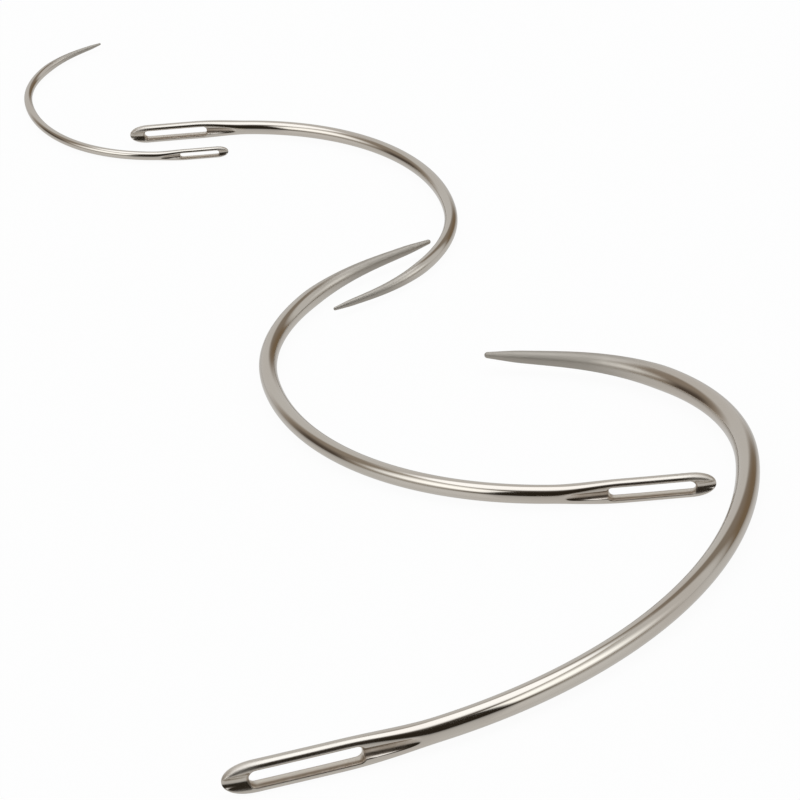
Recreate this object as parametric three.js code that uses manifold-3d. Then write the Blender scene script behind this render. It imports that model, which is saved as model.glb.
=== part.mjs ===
// A graduated set of four curved leather needles, laid out on a table.
// A needle is one length of steel wire: ground to a point, pressed flat at the head, pierced with
// a long eye, grooved so that the thread lies flush, and bent into a hook that eases into a bow.
// Millimetres, +Z up, with the needles lying on the plane Z = 0.

import * as THREE from "three";
import { mergeVertices } from "three/addons/utils/BufferGeometryUtils.js";
import Module from "manifold-3d";

// Size chart. Lengths run along the wire. "High" is square to the plane of the bow, "thick" is in it.
const LARGEST = {
  name: "needle_largest",
  length: 152.1, // point to nose
  wireHigh: 3.12,
  wireThick: 2.95,
  tipWide: 0.7, // blunt end of the point
  bevelWide: 1.5, // where the tip's own bevel meets the long taper
  bevelLong: 4,
  pointLong: 24.5, // ground length, bevel and taper together
  straightLong: 9.8, // unbent stretch behind the tip
  hookRadius: 34.6,
  headHigh: 4.1,
  headThick: 2.1,
  flareLong: 11, // from the round wire, where the gutter runs out, to the full head
  eyeLong: 14,
  eyeHigh: 2.1,
  eyeRim: 0.5, // how far the eye's wall rounds over into the cheek
  gutterLong: 7, // groove from the eye into the shank
  noseLong: 3.6, // metal beyond the eye
};
const LARGE = {
  name: "needle_large",
  length: 114.4,
  wireHigh: 2.35,
  wireThick: 2.22,
  tipWide: 0.53,
  bevelWide: 1.13,
  bevelLong: 3,
  pointLong: 18.4,
  straightLong: 6.9,
  hookRadius: 27.4,
  headHigh: 3.08,
  headThick: 1.58,
  flareLong: 8.3,
  eyeLong: 10.5,
  eyeHigh: 1.58,
  eyeRim: 0.38,
  gutterLong: 5.2,
  noseLong: 2.7,
};
const SMALL = {
  name: "needle_small",
  length: 83.5,
  wireHigh: 1.71,
  wireThick: 1.62,
  tipWide: 0.38,
  bevelWide: 0.82,
  bevelLong: 2.2,
  pointLong: 13.5,
  straightLong: 4.8,
  hookRadius: 19.8,
  headHigh: 2.25,
  headThick: 1.15,
  flareLong: 6,
  eyeLong: 7.7,
  eyeHigh: 1.15,
  eyeRim: 0.27,
  gutterLong: 3.85,
  noseLong: 1.98,
};
const SMALLEST = {
  name: "needle_smallest",
  length: 52.3,
  wireHigh: 1.07,
  wireThick: 1.01,
  tipWide: 0.24,
  bevelWide: 0.52,
  bevelLong: 1.4,
  pointLong: 8.4,
  straightLong: 2.9,
  hookRadius: 12.3,
  headHigh: 1.41,
  headThick: 0.72,
  flareLong: 3.8,
  eyeLong: 4.8,
  eyeHigh: 0.72,
  eyeRim: 0.17,
  gutterLong: 2.4,
  noseLong: 1.24,
};

// The bend that all four share
const HOOK_TURN = THREE.MathUtils.degToRad(67.7);
const BOW_TURN = THREE.MathUtils.degToRad(79.4);

// The head, as shares of the sizes that bound each feature
const EYE_CORNER_SHARE = 0.2; // corner at the eye's shank end, of its height
const NOSE_THIN_SHARE = 0.4; // thickness lost at the very end
const EDGE_POWER = 9; // how blunt the head's edges are: 2 is an oval
// A groove's radius is a share of the eye's height, its depth of the head's thickness, and its fade
// is the share of that depth that it loses on its way.
const SHANK_GROOVE = { radius: 0.45, deep: 0.28, fade: 0.55 };
const NOSE_GROOVE = { radius: 0.76, deep: 0.26, fade: 0.3 };
const RUN_OUT_POWER = 6; // how late a groove gives up its depth
const RUN_OUT_EASE = 0.06; // slope of a groove's end: 0 is a sheer wall

// How the needles lie to each other, measured along the neighbour's wire from its tip
const LARGE_NOSE_AT = 54.75;
const LARGE_NOSE_GAP = 2.49; // nose to the inside of the largest bow
const LARGE_NOSE_LEAN = THREE.MathUtils.degToRad(87.86);
const SMALL_HOOK_AT = 19.36;
const SMALL_HOOK_GAP = 0.77; // inside of the small hook to the large needle's tip
const SMALL_HOOK_LEAN = THREE.MathUtils.degToRad(138.51);
const SMALLEST_NOSE_AT = 70.27;
const SMALLEST_NOSE_GAP = 4.39; // nose to the inside of the small shank
const SMALLEST_NOSE_LEAN = THREE.MathUtils.degToRad(-173.95);
const SET_TURN = THREE.MathUtils.degToRad(-24.1); // turns the set to its longest side

// Facets
const AROUND = 20;
const TIP_STEPS = 3;
const BEVEL_STEPS = 2;
const TAPER_STEPS = 10;
const BEND_STEP = THREE.MathUtils.degToRad(3.4);
const FLARE_STEPS = 6;
const EYE_STEPS = 2;
const NOSE_STEPS = 6;
const NOSE_LAST = THREE.MathUtils.degToRad(84); // the last ring stops short of the nose's pole
const GUTTER_STEPS = 9;
const EYE_SIDES = 28;
const EYE_RINGS = 4;
const EYE_LAST = THREE.MathUtils.degToRad(72); // the round-over stops short of running flush into the cheek
const EYE_PROUD = 1.15; // how far the eye's cutter stands out of the cheeks

const wasm = await Module();
wasm.setup();

const nickel = new THREE.MeshStandardMaterial({ color: 0xb9b4ac, roughness: 0.2, metalness: 1 });

// The straight head reaches as far as the eye, and the bow takes up what the other stretches leave.
function stretches(size) {
  const hook = size.hookRadius * HOOK_TURN;
  const head = size.eyeLong + size.noseLong;
  const bow = size.length - size.straightLong - hook - head;
  return { hook, head, bow, bowRadius: bow / BOW_TURN };
}

// Centre line in the plane of the bow: it leaves the tip along +X and turns left.
function centreLine(size) {
  const { bowRadius } = stretches(size);
  const hookCentre = new THREE.Vector2(size.straightLong, size.hookRadius);
  const inward = new THREE.Vector2(-Math.sin(HOOK_TURN), Math.cos(HOOK_TURN));
  const bowCentre = hookCentre.clone().addScaledVector(inward, bowRadius - size.hookRadius);
  const start = -Math.PI / 2;
  const line = new THREE.Path();
  line.moveTo(0, 0);
  line.lineTo(size.straightLong, 0);
  line.absarc(hookCentre.x, hookCentre.y, size.hookRadius, start, start + HOOK_TURN, false);
  const bowStart = start + HOOK_TURN;
  line.absarc(bowCentre.x, bowCentre.y, bowRadius, bowStart, bowStart + BOW_TURN, false);
  const { head } = stretches(size);
  const headTurn = HOOK_TURN + BOW_TURN;
  const end = line.currentPoint.clone();
  line.lineTo(end.x + head * Math.cos(headTurn), end.y + head * Math.sin(headTurn));
  return line;
}

// Direction of the wire at a distance from the tip
function headingAt(size, along) {
  const { hook, bow, bowRadius } = stretches(size);
  const inHook = THREE.MathUtils.clamp(along - size.straightLong, 0, hook);
  const inBow = THREE.MathUtils.clamp(along - size.straightLong - hook, 0, bow);
  return inHook / size.hookRadius + inBow / bowRadius;
}

// A point at a distance from the tip, moved off the wire's centre towards the inside of the bow
function pointAt(size, line, along, inset = 0) {
  const onWire = THREE.MathUtils.clamp(along, 0, size.length);
  const heading = headingAt(size, onWire);
  const beyond = along - onWire;
  const point = line.getPointAt(onWire / size.length);
  point.x += beyond * Math.cos(heading) - inset * Math.sin(heading);
  point.y += beyond * Math.sin(heading) + inset * Math.cos(heading);
  return point;
}

// Bends a straight form: x becomes the way along the wire and y the way into the bow.
function bend(geometry, size) {
  const line = centreLine(size);
  const position = geometry.getAttribute("position");
  for (let i = 0; i < position.count; i += 1) {
    const point = pointAt(size, line, position.getX(i), position.getY(i));
    position.setXY(i, point.x, point.y);
  }
  return geometry;
}

// Skin over a row of rings, closed at both ends by a fan round the ring's middle
function loft(rings) {
  const around = rings[0].length;
  const points = rings.flat();
  const index = [];
  const last = (rings.length - 1) * around;
  const middleOf = (ring) =>
    ring.reduce((sum, p) => sum.add(p), new THREE.Vector3()).divideScalar(around);
  points.push(middleOf(rings[0]), middleOf(rings[rings.length - 1]));
  const firstMiddle = points.length - 2;
  const lastMiddle = points.length - 1;
  for (let i = 0; i < around; i += 1) {
    const next = (i + 1) % around;
    index.push(firstMiddle, next, i);
    index.push(lastMiddle, last + i, last + next);
    for (let row = 0; row < last; row += around) {
      index.push(row + i, row + next, row + around + i);
      index.push(row + next, row + around + next, row + around + i);
    }
  }
  return new THREE.BufferGeometry().setFromPoints(points).setIndex(index);
}

function solidOf(geometry) {
  const merged = mergeVertices(geometry);
  const vertProperties = new Float32Array(merged.getAttribute("position").array);
  const triVerts = new Uint32Array(merged.index.array);
  return new wasm.Manifold(new wasm.Mesh({ numProp: 3, vertProperties, triVerts }));
}

function geometryOf(solid) {
  const mesh = solid.getMesh();
  const geometry = new THREE.BufferGeometry();
  geometry.setAttribute("position", new THREE.BufferAttribute(mesh.vertProperties, 3));
  geometry.setIndex(new THREE.BufferAttribute(mesh.triVerts, 1));
  geometry.computeVertexNormals();
  return geometry;
}

const evenly = (from, to, steps) =>
  Array.from({ length: steps }, (_, i) => from + ((to - from) * (i + 1)) / steps);

// Distances from the tip at which the wire gets a ring: close together where its section changes
function stations(size) {
  const { hook, head } = stretches(size);
  const { length, bevelLong, pointLong, straightLong, noseLong } = size;
  const tipRound = size.tipWide / 2;
  const hookEnd = straightLong + hook;
  const bowEnd = length - head;
  const flareStart = bowEnd - size.gutterLong;
  const flareEnd = flareStart + size.flareLong;
  const noseStart = length - noseLong;
  const tip = evenly(0, Math.PI / 2, TIP_STEPS).map((angle) => tipRound * (1 - Math.cos(angle)));
  const bevel = evenly(tipRound, bevelLong, BEVEL_STEPS);
  const taper = evenly(bevelLong, pointLong, TAPER_STEPS);
  const bends = [
    ...evenly(straightLong, hookEnd, Math.ceil(HOOK_TURN / BEND_STEP)),
    ...evenly(hookEnd, bowEnd, Math.ceil(BOW_TURN / BEND_STEP)),
  ].filter((along) => along > pointLong && along < flareStart);
  const flare = evenly(flareStart, flareEnd, FLARE_STEPS);
  const eye = evenly(flareEnd, noseStart, EYE_STEPS);
  const nose = evenly(0, NOSE_LAST, NOSE_STEPS).map((angle) => noseStart + noseLong * Math.sin(angle));
  return [...tip, ...bevel, ...taper, ...bends, ...flare, ...eye, ...nose];
}

// Share of the full wire that the grinding leaves: a short bevel at the tip, then a long even taper
function groundShare(size, along) {
  const { tipWide, bevelWide, bevelLong, pointLong, wireHigh } = size;
  const onTaper = Math.min(along, pointLong);
  const wide =
    along < bevelLong
      ? THREE.MathUtils.mapLinear(along, 0, bevelLong, tipWide, bevelWide)
      : THREE.MathUtils.mapLinear(onTaper, bevelLong, pointLong, bevelWide, wireHigh);
  const blunt = Math.min((2 * along) / tipWide, 1);
  return (wide / wireHigh) * Math.sqrt(blunt * (2 - blunt));
}

// How far the head has taken over from the round wire: 0 on the wire, 1 on the full head
function flareAt(size, along) {
  const start = size.length - stretches(size).head - size.gutterLong;
  return THREE.MathUtils.smoothstep(along, start, start + size.flareLong);
}

// How far along the nose: 0 at the eye, 1 at the very end
function noseAt(size, along) {
  return THREE.MathUtils.clamp(1 - (size.length - along) / size.noseLong, 0, 1);
}

function thickAt(size, along) {
  const thick = THREE.MathUtils.lerp(size.wireThick, size.headThick, flareAt(size, along));
  return thick * (1 - NOSE_THIN_SHARE * noseAt(size, along) ** 2);
}

// Section of the wire: an oval, pressed towards the head into flat cheeks with round edges
function section(size, along) {
  const ground = groundShare(size, along);
  const flare = flareAt(size, along);
  const nose = noseAt(size, along);
  const high = THREE.MathUtils.lerp(size.wireHigh, size.headHigh, flare) * Math.sqrt(1 - nose * nose);
  const power = THREE.MathUtils.lerp(2, EDGE_POWER, flare);
  return Array.from({ length: AROUND }, (_, i) => {
    const angle = (2 * Math.PI * i) / AROUND;
    const up = Math.sin(angle);
    const bulge = Math.sign(Math.cos(angle)) * Math.sqrt(1 - Math.abs(up) ** power);
    return new THREE.Vector3(along, (ground * thickAt(size, along) * bulge) / 2, (ground * high * up) / 2);
  });
}

// The eye: a slot through both cheeks, full round towards the nose and squarer towards the shank.
// Its wall is a round-over from cheek to cheek, so that no edge frays the thread.
function eyeCutter(size) {
  const centre = size.length - size.noseLong - size.eyeLong / 2;
  const outline = (depth, grow) =>
    Array.from({ length: EYE_SIDES }, (_, i) => {
      const angle = (2 * Math.PI * (i + 0.5)) / EYE_SIDES;
      const towardsNose = Math.sign(Math.sin(angle));
      const corner = towardsNose > 0 ? size.eyeHigh / 2 : size.eyeHigh * EYE_CORNER_SHARE;
      const x = towardsNose * (size.eyeLong / 2 - corner) + (corner + grow) * Math.sin(angle);
      const up = Math.sign(Math.cos(angle));
      const z = up * (size.eyeHigh / 2 - corner) + (corner + grow) * Math.cos(angle);
      return new THREE.Vector3(centre + x, (depth * thickAt(size, centre + x)) / 2, z);
    });
  const wall = [-EYE_LAST, ...evenly(-EYE_LAST, EYE_LAST, EYE_RINGS)].map((angle) =>
    outline(Math.sin(angle), size.eyeRim * (1 - Math.cos(angle))),
  );
  return loft([outline(-EYE_PROUD, size.eyeRim), ...wall, outline(EYE_PROUD, size.eyeRim)]);
}

// A groove in a cheek: it follows the cheek, shallower and shallower, and runs out in a round end.
function grooveCutter(size, side, from, to, groove) {
  const radius = size.eyeHigh * groove.radius;
  const overrun = 1 / GUTTER_STEPS; // the groove starts inside the eye and leaves the surface
  const rings = [-overrun, ...evenly(-overrun, 1 + overrun, GUTTER_STEPS)].map((t) => {
    const along = THREE.MathUtils.lerp(from, to, t);
    const left = 1 - Math.sign(t) * Math.abs(t) ** RUN_OUT_POWER;
    const runOut = left / Math.sqrt(Math.abs(left) + RUN_OUT_EASE);
    const deep = size.headThick * groove.deep * (1 - groove.fade * t) * runOut;
    const y = side * (thickAt(size, along) / 2 - deep + radius);
    return Array.from({ length: AROUND }, (_, i) => {
      const angle = (2 * Math.PI * i) / AROUND;
      return new THREE.Vector3(along, y + radius * Math.cos(angle), radius * Math.sin(angle));
    });
  });
  return loft(to > from ? rings : rings.reverse());
}

function needleGeometry(size) {
  const eyeEnd = size.length - size.noseLong;
  const eyeStart = eyeEnd - size.eyeLong;
  const cutters = [eyeCutter(size)];
  for (const side of [-1, 1]) {
    cutters.push(grooveCutter(size, side, eyeStart, eyeStart - size.gutterLong, SHANK_GROOVE));
    cutters.push(grooveCutter(size, side, eyeEnd, size.length, NOSE_GROOVE));
  }
  const blank = loft(stations(size).map((along) => section(size, along)));
  const cut = (solid, cutter) => solid.subtract(solidOf(bend(cutter, size)));
  return geometryOf(cutters.reduce(cut, solidOf(bend(blank, size))));
}

// A needle on the table: its tip is at the group's own origin, and its lowest edge at Z = 0.
function lay(size, turnedOver) {
  const mesh = new THREE.Mesh(needleGeometry(size), nickel);
  mesh.name = size.name;
  mesh.position.z = Math.max(size.headHigh, size.wireHigh) / 2;
  mesh.rotation.x = turnedOver ? Math.PI : 0;
  const place = new THREE.Group();
  place.add(mesh);
  return place;
}

// Where a needle's tip goes, and which way it points, when a spot of it has to lie at a given place
function tipFor(size, along, inset, spot, heading) {
  const turn = heading - headingAt(size, along);
  const offset = pointAt(size, centreLine(size), along, inset).rotateAround(new THREE.Vector2(), turn);
  return { tip: spot.clone().sub(offset), turn };
}

function setDown(place, { tip, turn }) {
  place.position.set(tip.x, tip.y, 0);
  place.rotation.z = turn;
  return place;
}

// The large needle's nose points at the inside of the largest bow, which is turned over.
const inside = LARGEST.wireThick / 2 + LARGE_NOSE_GAP;
const nose = pointAt(LARGEST, centreLine(LARGEST), LARGE_NOSE_AT, inside);
nose.y *= -1;
const noseHeading = LARGE_NOSE_LEAN - headingAt(LARGEST, LARGE_NOSE_AT);
const large = tipFor(LARGE, LARGE.length, 0, nose, noseHeading);

// The small needle hooks round the large needle's tip.
const hookInset = SMALL.wireThick / 2 + SMALL_HOOK_GAP;
const small = tipFor(SMALL, SMALL_HOOK_AT, hookInset, large.tip, large.turn - SMALL_HOOK_LEAN);

// The smallest needle's head lies beside the small needle's head.
const beside = SMALL.wireThick / 2 + SMALLEST_NOSE_GAP;
const besideSpot = pointAt(SMALL, centreLine(SMALL), SMALLEST_NOSE_AT, beside);
besideSpot.rotateAround(new THREE.Vector2(), small.turn).add(small.tip);
const besideHeading = small.turn + headingAt(SMALL, SMALLEST_NOSE_AT) + SMALLEST_NOSE_LEAN;
const smallest = tipFor(SMALLEST, SMALLEST.length, 0, besideSpot, besideHeading);

const laidOut = new THREE.Group();
laidOut.rotation.z = SET_TURN;
laidOut.add(
  lay(LARGEST, true),
  setDown(lay(LARGE, false), large),
  setDown(lay(SMALL, false), small),
  setDown(lay(SMALLEST, false), smallest),
);

// The set's own origin is under the middle of the layout.
const needleSet = new THREE.Group();
needleSet.add(laidOut);
const middle = new THREE.Box3().setFromObject(needleSet, true).getCenter(new THREE.Vector3());
laidOut.position.set(-middle.x, -middle.y, 0);

export default needleSet;
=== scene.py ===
import math
import bpy
import numpy as np
from mathutils import Matrix, Vector


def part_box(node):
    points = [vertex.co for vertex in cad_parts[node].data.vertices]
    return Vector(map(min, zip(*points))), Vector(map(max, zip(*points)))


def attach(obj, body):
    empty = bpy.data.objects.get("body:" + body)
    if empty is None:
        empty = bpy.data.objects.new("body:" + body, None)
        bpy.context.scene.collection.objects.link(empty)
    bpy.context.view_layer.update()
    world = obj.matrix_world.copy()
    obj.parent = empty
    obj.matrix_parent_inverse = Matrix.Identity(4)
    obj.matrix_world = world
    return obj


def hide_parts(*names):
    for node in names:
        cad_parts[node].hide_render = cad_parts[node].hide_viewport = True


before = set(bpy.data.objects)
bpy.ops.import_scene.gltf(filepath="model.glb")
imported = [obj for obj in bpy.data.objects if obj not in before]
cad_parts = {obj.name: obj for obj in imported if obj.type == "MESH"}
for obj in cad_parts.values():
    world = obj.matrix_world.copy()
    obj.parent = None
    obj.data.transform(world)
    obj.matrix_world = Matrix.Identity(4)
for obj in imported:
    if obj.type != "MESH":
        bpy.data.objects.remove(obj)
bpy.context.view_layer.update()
mm = 0.001


# shape shared by all four needles: lengths in millimetres on the largest, powers and shares
needleForm = {
    "wireHigh": 3.12, "wireThick": 2.95,  # square to the bow's plane, and in it
    "tipWide": 0.7, "bevelWide": 1.5, "bevelLong": 4.0, "pointLong": 24.5,  # short bevel, long taper
    "grindEase": 0.04,  # rounding between the ground stretches
    "hookTurn": math.radians(67.7), "bowTurn": math.radians(79.4),
    "bendEase": 1.2, "headEase": 3.0,  # length over which one bend fades into the next
    "headHigh": 4.1, "headThick": 2.1, "edgePower": 6,  # a higher power gives flatter cheeks
    "flareLead": 9.5, "flareLong": 12.0,  # the wire starts to spread before the eye
    "eyeLong": 14.1, "eyeHigh": 1.8, "eyeShankCorner": 0.7, "eyeNoseCorner": 0.85,
    "eyeRim": 0.46, "stainReach": 0.42,  # round-over of the eye's wall, and how far its stain creeps out
    "slotEase": 1.5,  # length over which the eye's grid lines ease back beyond its ends
    "noseLong": 3.35, "noseThin": 0.4, "noseBlunt": 8,
    "noseLead": 1.2, "noseTaper": 2.3,  # the nose narrows from before the eye's end
    "noseFloorRise": 3, "noseRimLoss": 0.9,  # keeps the nose groove out of the eye, sharpens it to the end
    "gutterLong": 7.0, "gutterPast": 1.5,  # the gutter's formula is followed past its end, to run out
    "grooveRim": 0.03, "grooveLip": 10, "runOutPower": 6, "runOutEase": 0.06,
    "leastCheek": 0.05,  # thinner than this, the cheek's hollow isn't counted in full
}
shankGroove = {"radius": 0.8, "deep": 0.59, "fade": 0.55}
noseGroove = {"radius": 1.6, "deep": 0.546, "fade": 0.3}
needleGrid = {
    "railSteps": 26, "cheekSteps": 40,  # across: each rail beside the eye, and the eye's own height
    "roundSteps": 12, "taperSteps": 40, "shankSteps": 100, "gutterSteps": 70,  # along, from the tip
    "eyeSteps": 48, "cornerSteps": 20, "noseSteps": 40, "lineSteps": 6000,
    "taperCrowd": 1.4, "gutterLead": 1.15, "leastStep": 0.01,  # finer to the tip, and from before the gutter
    "crowdShank": 4.0, "crowdFull": 0.6, "crowdNose": 2.0,  # where the rails' lines crowd to the eye
}


# eased step from 0 at lo to 1 at hi: three times the square of the way along, less twice its cube
def easedStep(x, lo, hi):
    t = np.clip((x - lo) / (hi - lo), 0, 1)
    return t * t * (3 - 2 * t)


# the lesser of two heights, less ease times the log of one plus a falling exponential of their difference,
# which rounds the corner between them
def roundedMin(a, b, ease):
    return np.minimum(a, b) - ease * np.log1p(np.exp(-np.abs(a - b) / ease))


# even places after start, up to and with end
def evenSteps(start, end, count):
    return np.linspace(start, end, count + 1)[1:]


# where the eye starts and ends and where the needle ends, from the tip
def headEnds(form):
    eyeEnd = form["length"] - form["noseLong"]
    return eyeEnd - form["eyeLong"], eyeEnd, form["length"]


# places along the wire from tip to nose: even steps on plain stretches, cosines and sines of even angles on
# round ones, so that they crowd at the tip, the eye's ends and the nose
def wireStations(form, grid):
    tipRound = form["tipWide"] / 2
    eyeStart, eyeEnd, _ = headEnds(form)
    gutterStart = eyeStart - grid["gutterLead"] * form["gutterLong"]
    quarter = evenSteps(0, math.pi / 2, grid["roundSteps"])
    tip = tipRound * (1 - np.cos(quarter))
    taperShare = evenSteps(0, 1, grid["taperSteps"]) ** grid["taperCrowd"]
    taper = tipRound + (form["pointLong"] - tipRound) * taperShare
    shank = evenSteps(form["pointLong"], gutterStart, grid["shankSteps"])
    rim = form["eyeRim"] * (1 - np.cos(quarter))
    gutter = evenSteps(gutterStart, eyeStart - form["eyeRim"], grid["gutterSteps"])
    shankRim = np.append(eyeStart - rim[-2::-1], eyeStart)
    shankCorner = eyeStart + form["eyeShankCorner"] * (1 - np.cos(quarter))
    noseCorner = eyeEnd - form["eyeNoseCorner"] * np.cos(evenSteps(0, math.pi / 2, grid["cornerSteps"]))
    eye = evenSteps(shankCorner[-1], eyeEnd - form["eyeNoseCorner"], grid["eyeSteps"])
    nose = eyeEnd + form["noseLong"] * np.sin(evenSteps(0, math.pi / 2, grid["noseSteps"])[:-1])
    nose = np.append(eyeEnd + rim, nose[nose > eyeEnd + form["eyeRim"] + grid["leastStep"]])
    return np.concatenate([tip, taper, shank, gutter, shankRim, shankCorner, eye, noseCorner, nose])


# heading is the running sum of the curvature: none along the point, one over the hook's radius, the bow's,
# none along the head, each change eased; the line is the running sum of the heading's cosine and sine
def wireLine(along, form, grid):
    hookStart = form["straightLong"]
    bowStart = hookStart + form["hookRadius"] * form["hookTurn"]
    headStart, _, length = headEnds(form)
    fine = np.linspace(0, length, grid["lineSteps"] + 1)

    def ramp(start, ease):
        return ease * np.logaddexp(0, (fine - start) / ease)

    hook, bow = ramp(hookStart, form["bendEase"]), ramp(bowStart, form["bendEase"])
    heading = (hook - bow) / form["hookRadius"]
    heading += (bow - ramp(headStart, form["headEase"])) * form["bowTurn"] / (headStart - bowStart)
    middle = (heading[1:] + heading[:-1]) / 2
    x = np.append(0, np.cumsum(np.cos(middle))) * fine[1]
    y = np.append(0, np.cumsum(np.sin(middle))) * fine[1]
    return np.interp(along, fine, x), np.interp(along, fine, y), np.interp(along, fine, heading)


# share of the wire that the grinding leaves: the least of a short bevel, a long taper and the whole wire,
# times a quarter round at the tip
def groundShare(along, form):
    bevel = form["tipWide"] + (form["bevelWide"] - form["tipWide"]) * along / form["bevelLong"]
    rise = (form["wireHigh"] - form["bevelWide"]) / (form["pointLong"] - form["bevelLong"])
    taper = form["bevelWide"] + rise * (along - form["bevelLong"])
    wide = roundedMin(bevel, taper, form["grindEase"])
    wide = roundedMin(wide, form["wireHigh"], form["grindEase"])
    blunt = np.clip(2 * along / form["tipWide"], 0, 1)
    return wide / form["wireHigh"] * np.sqrt(blunt * (2 - blunt))


# how far the head has taken over from the round wire, and how far past the eye along the nose
def headShares(along, form):
    eyeStart, eyeEnd, _ = headEnds(form)
    flareStart = eyeStart - form["flareLead"]
    flare = easedStep(along, flareStart, flareStart + form["flareLong"])
    return flare, np.clip((along - eyeEnd) / form["noseLong"], 0, 1)


# share of the head's height that the nose keeps: the root of one less a power of the way along the nose,
# which starts before the eye's end
def noseShare(along, form):
    taperLong = form["noseLong"] + form["noseLead"]
    t = (along - form["length"] + form["noseLong"] + form["noseLead"]) / taperLong
    return np.sqrt(1 - np.clip(t, 0, 1) ** form["noseTaper"])


# half height of the eye at each station: straight sides, a quarter round into each end; beyond the ends it
# eases to a share of the head's height, so that the same grid lines run on along the wire
def eyeHalf(along, halfHead, form):
    half = form["eyeHigh"] / 2
    eyeStart, eyeEnd, _ = headEnds(form)
    shankCorner, noseCorner = form["eyeShankCorner"], form["eyeNoseCorner"]
    intoShank = np.clip((eyeStart + shankCorner - along) / shankCorner, 0, 1)
    intoNose = np.clip((along - eyeEnd + noseCorner) / noseCorner, 0, 1)
    shankLoss = shankCorner * (1 - np.sqrt(1 - intoShank ** 2))
    noseLoss = noseCorner * (1 - np.sqrt(1 - intoNose ** 2))
    outside = halfHead * form["eyeHigh"] / form["headHigh"]
    away = np.maximum(eyeStart - along, along - eyeEnd)
    endHalf = np.where(along < (eyeStart + eyeEnd) / 2, half - shankCorner, half - noseCorner)
    endHalf = np.minimum(endHalf, outside)
    eased = endHalf + (outside - endHalf) * easedStep(away, 0, form["slotEase"])
    return np.where(away > 0, eased, half - shankLoss - noseLoss)


# distance from the eye's outline: from its straight sides or from the centre of a corner, less the corner's
# radius, which differs between the ends; below 0 inside
def eyeDistance(along, z, form):
    eyeStart, eyeEnd, _ = headEnds(form)
    middle = (eyeStart + eyeEnd) / 2
    corner = np.where(along < middle, form["eyeShankCorner"], form["eyeNoseCorner"])
    beyond = np.abs(along - middle) - form["eyeLong"] / 2 + corner
    above = np.abs(z) - form["eyeHigh"] / 2 + corner
    inside = np.minimum(np.maximum(beyond, above), 0)
    return np.hypot(np.maximum(beyond, 0), np.maximum(above, 0)) + inside - corner


# height of a groove's surface: the cheek, less a depth that fades along t and runs out at 1, plus a round
# bowl across it and a steep lip beyond
def grooveSurface(cheek, t, z, groove, form):
    left = 1 - np.sign(t) * np.abs(t) ** form["runOutPower"]
    runOut = left / np.sqrt(np.abs(left) + form["runOutEase"])
    deep = groove["deep"] * (1 - groove["fade"] * t) * runOut
    radius = groove["radius"]
    bowl = radius - np.sqrt(np.maximum(radius ** 2 - z ** 2, 0))
    lip = form["grooveLip"] * np.maximum(np.abs(z) - radius, 0)
    return cheek - deep + (bowl + lip)


# half thickness at a station and a height: the cheek's, times the root of one less a power of the turn's
# sine, less the grooves, less the round-over of the eye's wall; with it the share that the grooves take and
# the nearness of the eye's wall
def cheekHalf(along, turn, z, form):
    eyeStart, eyeEnd, _ = headEnds(form)
    flare, nose = headShares(along, form)
    thin = groundShare(along, form) * (1 - form["noseThin"] * nose ** 2)
    cheek = (form["wireThick"] * (1 - flare) + form["headThick"] * flare) / 2 * thin
    power = 2 + (form["edgePower"] - 2) * flare
    section = np.sqrt(np.maximum(1 - np.abs(np.sin(turn)) ** power, 0))
    plain = cheek * section * np.sqrt(1 - nose ** form["noseBlunt"])

    shankT = np.clip((eyeStart - along) / form["gutterLong"], 0, form["gutterPast"])
    noseT = (along - eyeEnd) / form["noseLong"]
    gutterFloor = grooveSurface(cheek, shankT, z, shankGroove, form)
    noseFloor = grooveSurface(cheek, np.maximum(noseT, 0), z, noseGroove, form)
    noseFloor = noseFloor + form["noseFloorRise"] * np.maximum(-noseT, 0)
    noseRim = form["grooveRim"] * (1 - form["noseRimLoss"] * nose)
    half = roundedMin(plain, gutterFloor, form["grooveRim"])
    half = roundedMin(half, noseFloor, noseRim)
    hollow = np.clip((plain - half) / np.maximum(plain, form["leastCheek"]), 0, 1)

    away = eyeDistance(along, z, form)
    rim = np.clip(1 - away / form["eyeRim"], 0, 1)
    half = roundedMin(half, cheek * np.sqrt(1 - rim ** 2), noseRim)
    eyeWall = np.clip(1 - away / form["stainReach"], 0, 1)
    return np.maximum(half, 0), {"hollow": hollow, "eyeWall": eyeWall}


# grid of stations by turns from the lower edge up one cheek, where the height is the half height times the
# turn's sine; the other cheek is its mirror image
def needleSurface(form, grid):
    along = wireStations(form, grid)
    eyeStart, eyeEnd, _ = headEnds(form)
    flare, _ = headShares(along, form)
    halfHigh = (form["wireHigh"] * (1 - flare) + form["headHigh"] * flare) / 2
    halfHigh = halfHigh * groundShare(along, form) * noseShare(along, form)
    slot = np.arcsin(np.clip(eyeHalf(along, halfHigh, form) / halfHigh, 0, 1))[:, None]
    crowdIn = easedStep(along, eyeStart - grid["crowdShank"], eyeStart - grid["crowdFull"])
    crowdOut = easedStep(-along, -eyeEnd - grid["crowdNose"], -eyeEnd - grid["crowdFull"])
    crowd = (crowdIn * crowdOut)[:, None]
    even = np.linspace(0, 1, grid["railSteps"] + 1)[None, :]
    rail = even + crowd * (1 - np.cos(even * math.pi / 2) - even)
    upper = slot + (math.pi / 2 - slot) * rail
    cheek = slot * np.linspace(-1, 1, grid["cheekSteps"] + 1)[None, :]
    turn = np.concatenate([-upper[:, :0:-1], cheek, upper[:, 1:]], axis=1)
    z = halfHigh[:, None] * np.sin(turn)
    station = np.broadcast_to(along[:, None], turn.shape)
    half, marks = cheekHalf(station, turn, z, form)
    return along, station, turn, half, z, marks


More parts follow.
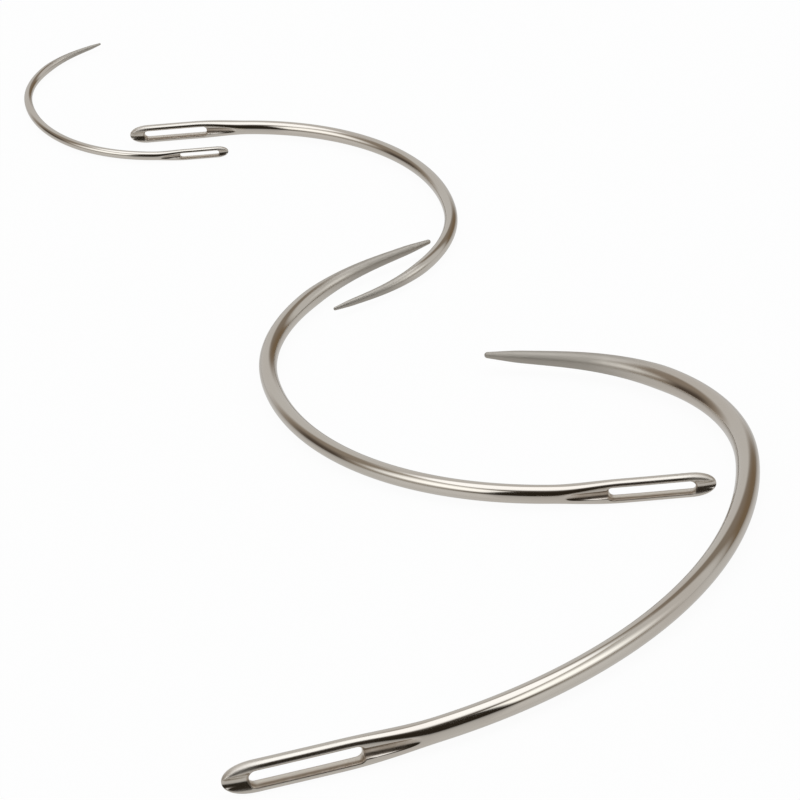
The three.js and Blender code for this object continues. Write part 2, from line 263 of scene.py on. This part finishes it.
# a fan from each pole to the loop of vertices next to it, and its UVs
def poleFans(loops, poles):
    count = loops.shape[1]
    after = np.roll(loops, -1, axis=1)
    tipFan = np.stack([np.full(count, poles[0]), after[0], loops[0]], -1)
    noseFan = np.stack([np.full(count, poles[1]), loops[-1], after[-1]], -1)
    place = np.arange(count + 1) / count
    uv = np.empty((2 * count, 3, 2))
    uv[..., 0] = np.repeat([0, 1], count)[:, None]
    uv[..., 1] = np.tile(np.stack([place[:-1], place[1:], place[:-1]], -1), (2, 1))
    return np.concatenate([tipFan, noseFan]), uv


# vertices, faces, UVs and marks of a straight needle: two cheeks that meet along the upper and lower edges
# and round the eye, and a fan on each pole
def needleMesh(form, grid):
    along, station, turn, half, z, marks = needleSurface(form, grid)
    rows, across = station.shape
    last = across - 1
    eyeStart, eyeEnd, length = headEnds(form)
    first = int(np.argmin(np.abs(along - eyeStart)))
    final = int(np.argmin(np.abs(along - eyeEnd)))
    low, high = grid["railSteps"], grid["railSteps"] + grid["cheekSteps"]
    near = np.arange(rows * across).reshape(rows, across)
    shared = np.zeros(near.shape, bool)
    shared[:, [0, last]] = True
    shared[first:final + 1, [low, high]] = True
    shared[[first, final], low:high + 1] = True
    far = np.where(shared, near, near + rows * across)
    half = np.where(shared, 0, half)
    points = np.concatenate([
        np.stack([station, half, z], -1).reshape(-1, 3),
        np.stack([station, -half, z], -1).reshape(-1, 3),
        [[0, 0, 0], [length, 0, 0]],  # the poles
    ])

    row, col = np.meshgrid(np.arange(rows - 1), np.arange(last), indexing="ij")
    solid = ~((row >= first) & (row < final) & (col >= low) & (col < high))  # all but the eye
    row, col = row[solid], col[solid]

    def corners(g):
        return np.stack([g[row, col], g[row, col + 1], g[row + 1, col + 1], g[row + 1, col]], -1)

    share = along / length
    u = np.stack([share[row], share[row], share[row + 1], share[row + 1]], -1)
    v = corners(turn / (2 * math.pi) + 0.25)  # share of the way round, from the lower edge
    quads = np.concatenate([corners(near), corners(far)[:, ::-1]])
    quadUv = np.concatenate([np.stack([u, v], -1), np.stack([u, 1 - v], -1)[:, ::-1]])
    loops = np.concatenate([near, far[:, last - 1:0:-1]], axis=1)
    tris, triUv = poleFans(loops, 2 * rows * across + np.arange(2))

    # only the vertices in use, numbered again
    used, packed = np.unique(np.concatenate([quads.ravel(), tris.ravel()]), return_inverse=True)
    packed = packed.ravel()
    quads, tris = packed[:quads.size].reshape(-1, 4), packed[quads.size:].reshape(-1, 3)
    uv = np.concatenate([quadUv.reshape(-1, 2), triUv.reshape(-1, 2)])
    marks = {name: np.append(np.tile(mark.ravel(), 2), [0, 0])[used] for name, mark in marks.items()}
    return points[used], quads, tris, uv, marks


# bends the straight needle: each point is the line's, plus its step aside, square to the heading; then it is
# turned over, scaled, turned to its own heading and set where its CAD solid lies
def placedPoints(points, form, grid):
    along, side, z = points.T
    x, y, heading = wireLine(along, form, grid)
    bent = np.stack([x - side * np.sin(heading), y + side * np.cos(heading), z], -1)
    if form["turnedOver"]:
        bent = bent * [1, -1, -1]  # half a turn about its own straight point
    bent = bent * (form["size"] * mm)
    bent = bent @ np.array(Matrix.Rotation(math.radians(form["heading"]), 3, "Z")).T
    boxLow, boxHigh = (np.array(corner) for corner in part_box(form["node"]))
    return bent + (boxLow + boxHigh - bent.min(0) - bent.max(0)) / 2


# one needle as a mesh, which rides on the body of its CAD solid and takes the solid's place
def makeNeedle(needle, grid, material):
    form = {**needleForm, **needle}
    points, quads, tris, uv, marks = needleMesh(form, grid)
    mesh = bpy.data.meshes.new(needle["node"] + "_fine")
    placed = placedPoints(points, form, grid)
    mesh.from_pydata(placed.tolist(), [], quads.tolist() + tris.tolist())
    mesh.uv_layers.new(name="wire").data.foreach_set("uv", uv.ravel().astype(np.float32))
    for name, mark in marks.items():
        mesh.attributes.new(name, "FLOAT", "POINT").data.foreach_set("value", mark.astype(np.float32))
    mesh.polygons.foreach_set("use_smooth", np.ones(len(mesh.polygons), bool))
    mesh.materials.append(material)
    mesh.update()
    piece = bpy.data.objects.new(needle["node"] + "_fine", mesh)
    bpy.context.scene.collection.objects.link(piece)
    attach(piece, "root")
    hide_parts(needle["node"])
    print("needle", needle["node"], len(mesh.polygons), "faces")


# adds a shader node: settings are its properties, inputs are sockets to link or values to set
def addNode(tree, kind, inputs, **settings):
    node = tree.nodes.new("ShaderNode" + kind)
    for name, value in settings.items():
        setattr(node, name, value)
    for name, value in inputs.items():
        if isinstance(value, bpy.types.NodeSocket):
            tree.links.new(value, node.inputs[name])
        else:
            node.inputs[name].default_value = value
    return node


def addMath(tree, operation, *values):
    return addNode(tree, "Math", dict(enumerate(values)), operation=operation).outputs[0]


# eased change from one value to another as a number passes from lo to hi
def addEase(tree, value, lo, hi, before=0, after=1):
    inputs = {"Value": value, "From Min": lo, "From Max": hi, "To Min": before, "To Max": after}
    return addNode(tree, "MapRange", inputs, interpolation_type="SMOOTHSTEP").outputs["Result"]


def addMix(tree, share, a, b):
    inputs = {"Factor": share, "A": a, "B": b}
    return addNode(tree, "Mix", inputs, data_type="RGBA").outputs["Result"]


# from one number towards a target, by a share
def addToward(tree, value, target, share):
    return addMath(tree, "MULTIPLY_ADD", share, addMath(tree, "SUBTRACT", target, value), value)


def addNoise(tree, place, scale, detail):
    return addNode(tree, "TexNoise", {"Vector": place, "Scale": scale, "Detail": detail}).outputs["Fac"]


def addStretch(tree, place, size):
    return addNode(tree, "VectorMath", {0: place, 1: size}, operation="MULTIPLY").outputs[0]


# nickel plate: polished along the shank with faint draw lines, ground dull at the point, satin at the head,
# stained in the eye and the gutters, with a pale painted highlight on the eye's inner wall; scales are per
# metre, places along the wire are shares of its length
nickelLook = {
    "plate": (0.65, 0.605, 0.54, 1), "warmPlate": (0.63, 0.575, 0.51, 1),
    "cloudScale": 75, "cloudDetail": 2, "cloudOver": (0.35, 0.65),  # where the plate turns warmer
    "polishedRough": 0.07, "smudgeRough": 0.05,
    "smudgeScale": 260, "smudgeDetail": 4, "smudgeOver": (0.4, 0.75),
    "ground": (0.47, 0.435, 0.385, 1), "groundRough": 0.5,
    "groundFrom": 0.19, "groundTo": 0.08, "groundUneven": 0.05,  # the grinding ends along an uneven line
    "headRough": 0.13, "headOver": (0.85, 0.9),
    "noseRough": 0.24, "noseSatinOver": (0.96, 0.985), "satinHollow": (0.02, 0.2),
    # brown stain in the eye and the gutters, and a pale painted highlight on the eye's inner wall
    "stain": (0.44, 0.36, 0.28, 1), "paintedEyeHighlight": (0.86, 0.8, 0.71, 1), "stainRough": 0.48,
    "eyeStainAndHighlight": 0.9, "eyeOver": (0.0, 0.4), "eyeHighlightOver": (0.78, 0.98),  # painted highlight: pale on the eye's inner wall, stained toward its rim
    "hollowStain": 0.75, "hollowOver": (0.02, 0.3), "noseOver": (0.96, 0.975),  # none in the nose groove
    "mottleScale": 900, "mottleDetail": 3, "mottleOver": (0.25, 0.6), "mottleLeast": 0.6,
    "wireLong": 152.0, "wireRound": 9.5, "lineDetail": 2,  # millimetres, of the wire unrolled
    "drawLines": (0.05, 2.2, 1), "drawDeep": 3.0e-6,  # lines per millimetre along and round, depth in metres
    "grindLines": (2.6, 0.35, 1), "grindDeep": 7.0e-6,
}


def makeNickel(look):
    material = bpy.data.materials.new("nickelPlate")
    material.use_nodes = True
    tree = material.node_tree
    shader = tree.nodes["Principled BSDF"]
    shader.inputs["Metallic"].default_value = 1
    wire = addNode(tree, "UVMap", {}, uv_map="wire").outputs["UV"]
    along = addNode(tree, "SeparateXYZ", {0: wire}).outputs["X"]
    place = addNode(tree, "TexCoord", {}).outputs["Object"]
    smudge = addNoise(tree, place, look["smudgeScale"], look["smudgeDetail"])
    cloud = addNoise(tree, place, look["cloudScale"], look["cloudDetail"])
    mottle = addNoise(tree, place, look["mottleScale"], look["mottleDetail"])
    eye = addNode(tree, "Attribute", {}, attribute_name="eyeWall").outputs["Fac"]
    hollow = addNode(tree, "Attribute", {}, attribute_name="hollow").outputs["Fac"]

    # shares of the ground point and of the stain, which on the eye's inner wall is a pale painted highlight
    uneven = addMath(tree, "MULTIPLY_ADD", smudge, look["groundUneven"], along)
    shift = look["groundUneven"] / 2
    ground = addEase(tree, uneven, look["groundTo"] + shift, look["groundFrom"] + shift, 1, 0)
    eyeShare = addMath(tree, "MULTIPLY", addEase(tree, eye, *look["eyeOver"]), look["eyeStainAndHighlight"])
    shankSide = addEase(tree, along, *look["noseOver"], look["hollowStain"], 0)
    hollowShare = addMath(tree, "MULTIPLY", addEase(tree, hollow, *look["hollowOver"]), shankSide)
    patchy = addEase(tree, mottle, *look["mottleOver"], look["mottleLeast"], 1)
    stain = addMath(tree, "MULTIPLY", addMath(tree, "MAXIMUM", eyeShare, hollowShare), patchy)

    plate = addMix(tree, addEase(tree, cloud, *look["cloudOver"]), look["plate"], look["warmPlate"])
    colour = addMix(tree, ground, plate, look["ground"])
    # painted highlight: the eye's stain turns pale on its inner wall, so that the wall shows bright
    stainAndHighlightColour = addMix(tree, addEase(tree, eye, *look["eyeHighlightOver"]), look["stain"], look["paintedEyeHighlight"])
    tree.links.new(addMix(tree, stain, colour, stainAndHighlightColour), shader.inputs["Base Color"])

    smudged = look["polishedRough"] + look["smudgeRough"]
    rough = addEase(tree, smudge, *look["smudgeOver"], look["polishedRough"], smudged)
    rough = addMath(tree, "ADD", rough, addEase(tree, along, *look["headOver"], 0, look["headRough"]))
    satin = addEase(tree, along, *look["noseSatinOver"], 0, look["noseRough"])
    satin = addMath(tree, "MULTIPLY", satin, addEase(tree, hollow, *look["satinHollow"], 1, 0))
    rough = addMath(tree, "ADD", rough, satin)
    rough = addToward(tree, rough, look["groundRough"], ground)
    rough = addToward(tree, rough, look["stainRough"], stain)
    tree.links.new(rough, shader.inputs["Roughness"])

    # draw lines run along the wire, grinding lines round it
    unrolled = addStretch(tree, wire, (look["wireLong"], look["wireRound"], 1))
    drawLines = addNoise(tree, addStretch(tree, unrolled, look["drawLines"]), 1, look["lineDetail"])
    grindLines = addNoise(tree, addStretch(tree, unrolled, look["grindLines"]), 1, look["lineDetail"])
    drawn = addMath(tree, "MULTIPLY", drawLines, look["drawDeep"])
    grinds = addMath(tree, "MULTIPLY", addMath(tree, "MULTIPLY", grindLines, look["grindDeep"]), ground)
    relief = addMath(tree, "ADD", drawn, grinds)
    bump = addNode(tree, "Bump", {"Height": relief, "Strength": 1, "Distance": 1})
    tree.links.new(bump.outputs["Normal"], shader.inputs["Normal"])
    print("nickel plate", len(tree.nodes), "nodes")
    return material


# each needle's own lengths are in millimetres before its size is applied, its heading is in degrees
largestNeedle = {"node": "needle_largest", "size": 1.0, "length": 152.1, "straightLong": 9.8,
                 "hookRadius": 34.6, "heading": -24.1, "turnedOver": True}
largeNeedle = {"node": "needle_large", "size": 0.752, "length": 152.1, "straightLong": 9.18,
               "hookRadius": 36.44, "heading": -154.893, "turnedOver": False}
smallNeedle = {"node": "needle_small", "size": 0.549, "length": 152.1, "straightLong": 8.74,
               "hookRadius": 36.07, "heading": 24.465, "turnedOver": False}
smallestNeedle = {"node": "needle_smallest", "size": 0.344, "length": 152.0, "straightLong": 8.43,
                  "hookRadius": 35.76, "heading": -155.663, "turnedOver": False}

nickel = makeNickel(nickelLook)
for needle in (largestNeedle, largeNeedle, smallNeedle, smallestNeedle):
    makeNeedle(needle, needleGrid, nickel)


# floor: white paper that glows for the camera, a little less for the metal, and keeps a faint shadow; the
# metal also sees a sheen on it where the ray runs flat along it
floorLook = {
    "half": 3.0, "paper": (0.95, 0.95, 0.95, 1), "glowShare": 0.95, "mirroredLevel": 0.69,
    "sheenIndex": 1.45, "sheenRough": 0.05,
}


def makeFloor(look):
    half = look["half"]
    mesh = bpy.data.meshes.new("paperFloor")
    corners = [(-half, -half, 0), (half, -half, 0), (half, half, 0), (-half, half, 0)]
    mesh.from_pydata(corners, [], [(0, 1, 2, 3)])
    material = bpy.data.materials.new("whitePaper")
    material.use_nodes = True
    tree = material.node_tree
    tree.nodes.remove(tree.nodes["Principled BSDF"])
    rays = addNode(tree, "LightPath", {})
    camera, glossy = rays.outputs["Is Camera Ray"], rays.outputs["Is Glossy Ray"]
    level = addMath(tree, "MULTIPLY_ADD", glossy, look["mirroredLevel"], camera)
    share = addMath(tree, "MULTIPLY", addMath(tree, "MAXIMUM", camera, glossy), look["glowShare"])
    paper = addNode(tree, "BsdfDiffuse", {"Color": look["paper"]}).outputs[0]
    glow = addNode(tree, "Emission", {"Strength": level}).outputs[0]
    glowing = addNode(tree, "MixShader", {"Fac": share, 1: paper, 2: glow}).outputs[0]
    grazing = addNode(tree, "Fresnel", {"IOR": look["sheenIndex"]}).outputs[0]
    gloss = addNode(tree, "BsdfGlossy", {"Roughness": look["sheenRough"]}).outputs[0]
    sheen = addMath(tree, "MULTIPLY", grazing, glossy)
    coated = addNode(tree, "MixShader", {"Fac": sheen, 1: glowing, 2: gloss}).outputs[0]
    tree.links.new(coated, tree.nodes["Material Output"].inputs["Surface"])
    mesh.materials.append(material)
    floor = bpy.data.objects.new("paperFloor", mesh)
    bpy.context.scene.collection.objects.link(floor)
    print("paper floor", 2 * half, "m wide")


makeFloor(floorLook)


# light tent round the table: azimuth from the far side, to the right (side 1), to the left (-1) or to both
# (0), and elevation, in degrees; each panel has soft edges and is laid over the ones before it, and one that
# leans shifts with the elevation above or below the pivot
tentLook = {"wall": (0.68, 0.68, 0.68), "cameraSees": (1, 1, 1), "leanPivot": 12}
tentPanels = {
    "rightCorner": {"side": 1, "az": (22, 60), "azSoft": (16, 16), "el": (-30, 50), "elSoft": (8, 10),
                    "lean": 0.4, "light": (0.29, 0.25, 0.21)},
    "rightCore": {"side": 1, "az": (29, 55), "azSoft": (12, 10), "el": (-30, 24), "elSoft": (8, 24),
                  "lean": 0.4, "light": (0.23, 0.17, 0.11)},
    "leftCorner": {"side": -1, "az": (43, 89), "azSoft": (18, 16), "el": (-30, 50), "elSoft": (8, 12),
                   "lean": 0.2, "light": (0.33, 0.285, 0.24)},
    "leftCore": {"side": -1, "az": (56, 79), "azSoft": (14, 12), "el": (-30, 22), "elSoft": (8, 26),
                 "lean": 0.2, "light": (0.1, 0.08, 0.065)},
    "ceiling": {"side": 0, "az": (-10, 190), "azSoft": (2, 2), "el": (55, 120), "elSoft": (7, 8),
                "lean": 0, "light": (1.56, 1.62, 1.7)},
    "ceilingFront": {"side": 0, "az": (122, 270), "azSoft": (70, 2), "el": (48, 66), "elSoft": (8, 20),
                     "lean": 0, "light": (0.18, 0.165, 0.15)},
    "sideWindow": {"side": 0, "az": (90, 170), "azSoft": (32, 2), "el": (17, 44), "elSoft": (14, 18),
                   "lean": 0, "light": (1.6, 1.65, 1.68)},
    "ceilingSeam": {"side": 0, "az": (58, 170), "azSoft": (12, 2), "el": (50.5, 53), "elSoft": (2, 2),
                    "lean": 0, "light": (0.5, 0.46, 0.4)},
    "windowSill": {"side": 0, "az": (86, 170), "azSoft": (16, 2), "el": (2, 7), "elSoft": (3, 3),
                   "lean": 0, "light": (0.3, 0.25, 0.19)},
    "openingTop": {"side": 0, "az": (117, 270), "azSoft": (20, 2), "el": (45, 58), "elSoft": (10, 16),
                   "lean": 0, "light": (0.12, 0.1, 0.085)},
    "openingFoot": {"side": 0, "az": (121, 270), "azSoft": (14, 2), "el": (-30, 9), "elSoft": (2, 12),
                    "lean": 0, "light": (0.17, 0.15, 0.12)},
    "frontOpening": {"side": 0, "az": (129, 270), "azSoft": (6, 2), "el": (-30, 52), "elSoft": (2, 20),
                     "lean": 0, "light": (0.03, 0.024, 0.017)},
}


# 1 between two ends and 0 beyond them, each end eased over its own softness
def addSpan(tree, value, ends, soft):
    rise = addEase(tree, value, ends[0] - soft[0] / 2, ends[0] + soft[0] / 2)
    fall = addEase(tree, value, ends[1] - soft[1] / 2, ends[1] + soft[1] / 2, 1, 0)
    return addMath(tree, "MULTIPLY", rise, fall)


def makeTent(look, panels):
    world = bpy.data.worlds.new("lightTent")
    bpy.context.scene.world = world
    world.use_nodes = True
    tree = world.node_tree
    ray = addNode(tree, "TexCoord", {}).outputs["Generated"]
    split = addNode(tree, "SeparateXYZ", {0: ray}).outputs
    azimuth = addMath(tree, "DEGREES", addMath(tree, "ARCTAN2", split["X"], split["Y"]))
    sides = {0: addMath(tree, "ABSOLUTE", azimuth), 1: azimuth, -1: addMath(tree, "MULTIPLY", azimuth, -1)}
    elevation = addMath(tree, "DEGREES", addMath(tree, "ARCSINE", split["Z"]))
    raised = addMath(tree, "SUBTRACT", elevation, look["leanPivot"])
    light = (*look["wall"], 1)
    for name, panel in panels.items():
        leaning = addMath(tree, "MULTIPLY_ADD", raised, panel["lean"], sides[panel["side"]])
        across = addSpan(tree, leaning, panel["az"], panel["azSoft"])
        upward = addSpan(tree, elevation, panel["el"], panel["elSoft"])
        light = addMix(tree, addMath(tree, "MULTIPLY", across, upward), light, (*panel["light"], 1))
        light.node.label = name
    toCamera = addNode(tree, "LightPath", {}).outputs["Is Camera Ray"]
    seen = addMix(tree, toCamera, light, (*look["cameraSees"], 1))
    tree.links.new(seen, tree.nodes["Background"].inputs["Color"])
    print("light tent", len(panels), "panels")


makeTent(tentLook, tentPanels)


# camera: a long lens, turned a little about its own line of sight; degrees and millimetres
cameraLook = {
    "elevation": 28.0, "roll": -8.79, "aim": (-0.777, -4.897, -0.12), "distance": 4327.3,
    "lens": 1600.0, "sensor": 36, "clipEnd": 100000,
}


def makeCamera(look):
    data = bpy.data.cameras.new("camera")
    data.lens = look["lens"]
    data.sensor_width = look["sensor"]
    data.clip_end = look["clipEnd"] * mm
    camera = bpy.data.objects.new("camera", data)
    tilt = math.radians(look["elevation"])
    tilted = Matrix.Rotation(math.pi / 2 - tilt, 4, "X")
    rolled = Matrix.Rotation(math.radians(look["roll"]), 4, "Z")
    place = Vector(look["aim"]) + Vector((0, -math.cos(tilt), math.sin(tilt))) * look["distance"]
    camera.matrix_world = Matrix.Translation(place * mm) @ (tilted @ rolled)
    bpy.context.scene.collection.objects.link(camera)
    bpy.context.scene.camera = camera
    print("camera", look["lens"], "mm lens")


makeCamera(cameraLook)
bpy.context.scene.view_settings.view_transform = "Standard"
